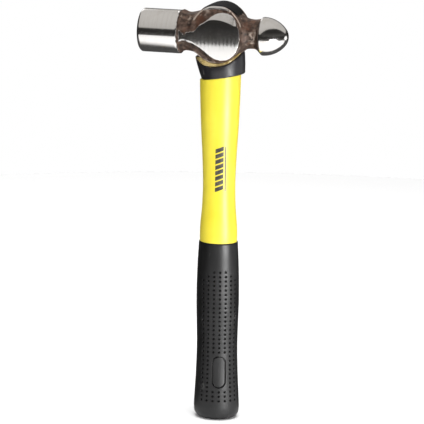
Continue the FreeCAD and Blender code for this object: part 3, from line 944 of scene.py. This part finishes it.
def has_dimple(column, row):
    """Rows count down from the top; the front field leaves room for the pad."""
    front = abs(column) <= 3
    back = abs(column) >= COLUMNS // 2 - 3
    if back:
        return row >= 2 if abs(abs(column) - COLUMNS // 2) == 3 else True
    if not front:
        return False
    if abs(column) <= 1:
        return row <= 18 or row >= 27
    return row >= abs(column) - 1


def dimple_shift(angle, height, half):
    """Move (in angle and height) and depth of one point of the pattern, in mm."""
    column_turn = 2 * math.pi / COLUMNS
    column = round(angle / column_turn)
    row_up = math.floor((height - FIELD_FOOT) / ROW_PITCH + 1e-4)
    row = ROWS - 1 - row_up
    if not 0 <= row < ROWS or not has_dimple(column, row):
        return 0.0, 0.0, 0.0
    i = round((angle / column_turn - column) * CELL)
    j = round(((height - FIELD_FOOT) / ROW_PITCH - row_up - 0.5) * CELL)
    ring = max(abs(i), abs(j))
    if ring > 3:
        return 0.0, 0.0, 0.0
    length = math.hypot(i, j) or 1.0
    arc = i / length * DIMPLE_RING[ring]
    rise = j / length * DIMPLE_RING[ring]
    cell_arc = i / CELL * column_turn
    return arc / half - cell_arc, rise - j / CELL * ROW_PITCH, DIMPLE_DEPTH[ring]


def build_grip():
    start = Matrix.Rotation(PAD_MIDDLE, 3, "Z")
    outline = [start @ Vector((r, 0, z)) for r, z in grip_outline()]
    bm = turn_outline(outline, (0, 0, 1), COLUMNS * CELL)
    painted_dimple_shade = bm.verts.layers.float.new("painted_dimple_shade")
    for vert in bm.verts:
        radius = math.hypot(vert.co.x, vert.co.y) / MM
        height = vert.co.z / MM
        if radius < 1.0:
            continue
        angle = math.atan2(vert.co.y, vert.co.x) - PAD_MIDDLE
        angle = (angle + math.pi) % (2 * math.pi) - math.pi
        outside = radius > 14.5 and FIELD_FOOT - 0.01 < height < FIELD_TOP + 0.01
        turn, rise, depth = dimple_shift(angle, height, radius) if outside else (0.0, 0.0, 0.0)
        reach = radius - depth
        # Depth in the dimple, kept on the point so the material can paint shade into the hollows.
        vert[painted_dimple_shade] = min(depth / DIMPLE_DEPTH[2], 1.0)
        where = angle + turn + PAD_MIDDLE
        vert.co = Vector((reach * math.cos(where), reach * OVAL * math.sin(where),
                          height + rise)) * MM
    bmesh.ops.recalc_face_normals(bm, faces=bm.faces)
    return finish_piece("grip_sleeve", bm, grip_rubber, 42)


grip = build_grip()
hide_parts("rubber_grip")

# %% [markdown]
# ## Groove and pad
# A smooth obround pad sits near the butt, inside a groove. The groove is the gap around the pad,
# so a pocket a little larger than the pad is cut out of the sleeve with a Boolean modifier, and
# the pad is a softened copy of its CAD solid.

# %% Cut the pocket and lay in the pad
def obround_bar(half_width, straight, near, far):
    """An obround bar that points out of the handle, from near to far millimetres."""
    bm = bmesh.new()
    disc = bmesh.ops.create_circle(bm, cap_ends=True, segments=64, radius=half_width * MM)
    for vert in disc["verts"]:
        side = 1 if vert.co.y > 0 else -1
        vert.co.y += side * straight * MM
    bmesh.ops.rotate(bm, verts=bm.verts, matrix=Matrix.Rotation(math.pi / 2, 3, "X"))
    bmesh.ops.translate(bm, verts=bm.verts, vec=(0, -near * MM, 0))
    made = bmesh.ops.extrude_face_region(bm, geom=bm.faces[:])["geom"]
    moved = [g for g in made if isinstance(g, bmesh.types.BMVert)]
    bmesh.ops.translate(bm, verts=moved, vec=(0, -(far - near) * MM, 0))
    bmesh.ops.rotate(bm, verts=bm.verts, matrix=Matrix.Rotation(PAD_TURN, 3, "Z"))
    bmesh.ops.translate(bm, verts=bm.verts, vec=(0, 0, PAD_Z * MM))
    bmesh.ops.recalc_face_normals(bm, faces=bm.faces)
    return bm


def cut_pocket(target, cutter_bm):
    mesh = bpy.data.meshes.new("pocket_cutter")
    cutter_bm.to_mesh(mesh)
    cutter_bm.free()
    cutter = bpy.data.objects.new("pocket_cutter", mesh)
    bpy.context.scene.collection.objects.link(cutter)
    boolean = target.modifiers.new("pocket", "BOOLEAN")
    boolean.operation = "DIFFERENCE"
    boolean.solver = "EXACT"
    boolean.object = cutter
    graph = bpy.context.evaluated_depsgraph_get()
    cut = bpy.data.meshes.new_from_object(target.evaluated_get(graph))
    target.modifiers.clear()
    target.data = cut
    bpy.data.objects.remove(cutter)
    print(f"{target.name}: {len(cut.polygons)} faces with its pocket")


PAD_HALF, PAD_STRAIGHT, PAD_GROOVE = 4.7, 7.5, 0.95
POCKET_FLOOR, OUTSIDE = 11.9, 22.0
cut_pocket(grip, obround_bar(PAD_HALF + PAD_GROOVE, PAD_STRAIGHT, POCKET_FLOOR, OUTSIDE))
pad = melted_copy("grip_pad", "grip_label_pad", 0.28, 4, pad_rubber)
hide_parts("grip_pad")

# %% [markdown]
# ## Fibreglass rod
# The rod is hidden by the jacket, the resin and the grip, and its CAD solid already has the
# right shape. It only needs the look of pultruded glass: straight fibres in pale resin.

# %% Material: fibreglass rod
def fibreglass():
    material, tree, shader, where = start_material("fibreglass_rod")
    strands = add_noise(tree, add_mapping(tree, where, (2400, 2400, 12)), 1.0, 4.0, 0.6)
    colour = add_mix(tree, add_range(tree, strands, 0.35, 0.65), (0.46, 0.40, 0.22),
                     (0.78, 0.72, 0.50))
    tree.links.new(colour, shader.inputs["Base Color"])
    tree.links.new(add_range(tree, strands, 0.3, 0.7, 0.32, 0.55), shader.inputs["Roughness"])
    add_bump(tree, shader, strands, 0.0002, 0.6)
    return material


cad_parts["core_rod"].data.materials.clear()
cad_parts["core_rod"].data.materials.append(fibreglass())
print("rod dressed")

# %% [markdown]
# ## Floor, light and camera
# The hammer stands on a plain pale floor. Polished steel shows what is around it, so the world
# is mid grey above, bright below and dark in a band about the horizon, which draws the dark
# stripe along the poll and across the cheek. That band, and a black card laid on the floor, are
# there for mirrors only: rough surfaces get an even grey from all sides, and the eye sees white.
# A wide light overhead, hidden from mirrors, throws most of the light. Three smaller soft lights
# stand at the right, low at the front right, and behind at the left.

# %% Floor
FLOOR_RADIUS = 0.95
FRONT, RIGHT = (0.276, -0.961, 0.0), (0.819, -0.574, 0.0)


def build_floor():
    """A pale disc. In mirrors a black card covers all of it but its front right part."""
    bm = bmesh.new()
    bmesh.ops.create_circle(bm, cap_ends=True, segments=96, radius=FLOOR_RADIUS)
    mesh = bpy.data.meshes.new("floor")
    bm.to_mesh(mesh)
    bm.free()
    floor = bpy.data.objects.new("floor", mesh)
    bpy.context.scene.collection.objects.link(floor)
    material, tree, shader, where = start_material("pale_floor")
    shade = add_noise(tree, where, 3.0, 3.0, 0.5)
    pale = add_mix(tree, shade, (0.93, 0.93, 0.93), (0.96, 0.96, 0.96))
    in_front = add_range(tree, add_dot(tree, where, FRONT), -0.040, 0.010)
    to_right = add_range(tree, add_dot(tree, where, RIGHT), -0.10, 0.0)
    card = add_math(tree, "SUBTRACT", 1.0, add_math(tree, "MULTIPLY", in_front, to_right))
    ray = tree.nodes.new("ShaderNodeLightPath")
    card_seen = add_math(tree, "MULTIPLY", card, ray.outputs["Is Glossy Ray"])
    tree.links.new(add_mix(tree, card_seen, pale, (0.05, 0.05, 0.05)),
                   shader.inputs["Base Color"])
    shader.inputs["Roughness"].default_value = 0.8
    mesh.materials.append(material)
    return floor


build_floor()
print(f"floor {2 * FLOOR_RADIUS:.1f} m across")


# %% World
def build_world():
    """Grey stripes by height for mirrors, an even grey for rough surfaces, white for the eye.

    The dark stripe reaches higher at the right, and mirrors see less light from the left.
    """
    world = bpy.data.worlds.new("studio")
    bpy.context.scene.world = world
    world.use_nodes = True
    tree = world.node_tree
    tree.nodes.clear()
    out = tree.nodes.new("ShaderNodeOutputWorld")
    direction = tree.nodes.new("ShaderNodeTexCoord").outputs["Generated"]
    parts = tree.nodes.new("ShaderNodeSeparateXYZ")
    tree.links.new(direction, parts.inputs[0])
    to_right = add_range(tree, add_dot(tree, direction, (0.8, -0.6, 0.0)), 0.40, 0.60)
    above = add_range(tree, parts.outputs["Z"], 0.0, 0.25, 0.0, 0.27)
    level = add_math(tree, "ADD", add_math(tree, "MULTIPLY", parts.outputs["Z"], 0.5), 0.5)
    remap = add_math(tree, "SUBTRACT", level, add_math(tree, "MULTIPLY", to_right, above))
    stripes = tree.nodes.new("ShaderNodeValToRGB")
    stops = [(0.0, 1.0), (0.29, 1.25), (0.335, 0.08), (0.50, 0.025), (0.63, 0.03),
             (0.675, 0.54), (0.80, 0.56), (1.0, 0.62)]
    band = stripes.color_ramp
    for place, grey in stops[1:-1]:
        band.elements.new(place).color = (grey, 0.97 * grey, 0.93 * grey, 1)
    for end, grey in ((0, stops[0][1]), (-1, stops[-1][1])):
        band.elements[end].color = (grey, 0.97 * grey, 0.93 * grey, 1)
    tree.links.new(remap, stripes.inputs[0])
    seen = tree.nodes.new("ShaderNodeBackground")
    seen.inputs["Color"].default_value = (1, 1, 1, 1)
    lit = tree.nodes.new("ShaderNodeBackground")
    ray = tree.nodes.new("ShaderNodeLightPath")
    even = add_mix(tree, ray.outputs["Is Diffuse Ray"], stripes.outputs[0], (0.40, 0.40, 0.40))
    tree.links.new(even, lit.inputs["Color"])
    to_left = add_range(tree, add_dot(tree, direction, (-1.0, 0.0, 0.0)), 0.55, 0.90, 0.0, 0.9)
    dimmed = add_math(tree, "MULTIPLY", to_left, ray.outputs["Is Glossy Ray"])
    tree.links.new(add_math(tree, "SUBTRACT", 1.05, dimmed), lit.inputs["Strength"])
    choose = tree.nodes.new("ShaderNodeMixShader")
    tree.links.new(ray.outputs["Is Camera Ray"], choose.inputs[0])
    tree.links.new(lit.outputs[0], choose.inputs[1])
    tree.links.new(seen.outputs[0], choose.inputs[2])
    tree.links.new(choose.outputs[0], out.inputs[0])


build_world()


# %% Lights
def add_softbox(name, azimuth, elevation, distance, size, watts, aim=(0, 0, 0.17)):
    """A soft light; azimuth 0 is straight ahead of the hammer's front, 90 is at the ball."""
    light = bpy.data.lights.new(name, "AREA")
    light.shape = "ELLIPSE"
    light.size, light.size_y = size
    light.energy = watts
    lamp = bpy.data.objects.new(name, light)
    bpy.context.scene.collection.objects.link(lamp)
    a, e = math.radians(azimuth), math.radians(elevation)
    offset = Vector((math.sin(a) * math.cos(e), -math.cos(a) * math.cos(e), math.sin(e)))
    lamp.location = Vector(aim) + offset * distance
    lamp.rotation_euler = offset.to_track_quat("Z", "Y").to_euler()
    return lamp


overhead = add_softbox("overhead", 30, 80, 1.5, (1.4, 1.4), 33)
overhead.visible_glossy = False
add_softbox("right_wall", 115, -2, 1.4, (0.9, 0.55), 1.6)
add_softbox("low_front_right", 46, 0, 0.75, (0.34, 0.13), 5.4, (0, 0, 0.07))
add_softbox("back_left", 215, 30, 1.6, (0.6, 0.9), 1.5)


# %% Camera
CAMERA_AZIMUTH, CAMERA_ELEVATION = math.radians(16.0), math.radians(12.5)
CAMERA_DISTANCE, CAMERA_ROLL = 2.365, math.radians(0.7)


def build_camera():
    camera = bpy.data.cameras.new("camera")
    camera.lens = 257
    camera.sensor_width = 36
    eye = bpy.data.objects.new("camera", camera)
    bpy.context.scene.collection.objects.link(eye)
    out = Vector((math.sin(CAMERA_AZIMUTH) * math.cos(CAMERA_ELEVATION),
                  -math.cos(CAMERA_AZIMUTH) * math.cos(CAMERA_ELEVATION),
                  math.sin(CAMERA_ELEVATION)))
    turn = out.to_track_quat("Z", "Y").to_matrix()
    right = turn @ Vector((1, 0, 0))
    aim = Vector((0, 0, 0.1652)) - right * 0.0053
    eye.location = aim + out * CAMERA_DISTANCE
    eye.rotation_euler = (turn @ Matrix.Rotation(CAMERA_ROLL, 3, "Z")).to_euler()
    bpy.context.scene.camera = eye


build_camera()
print(f"camera {CAMERA_DISTANCE} m away")
bpy.context.scene.view_settings.view_transform = "Standard"
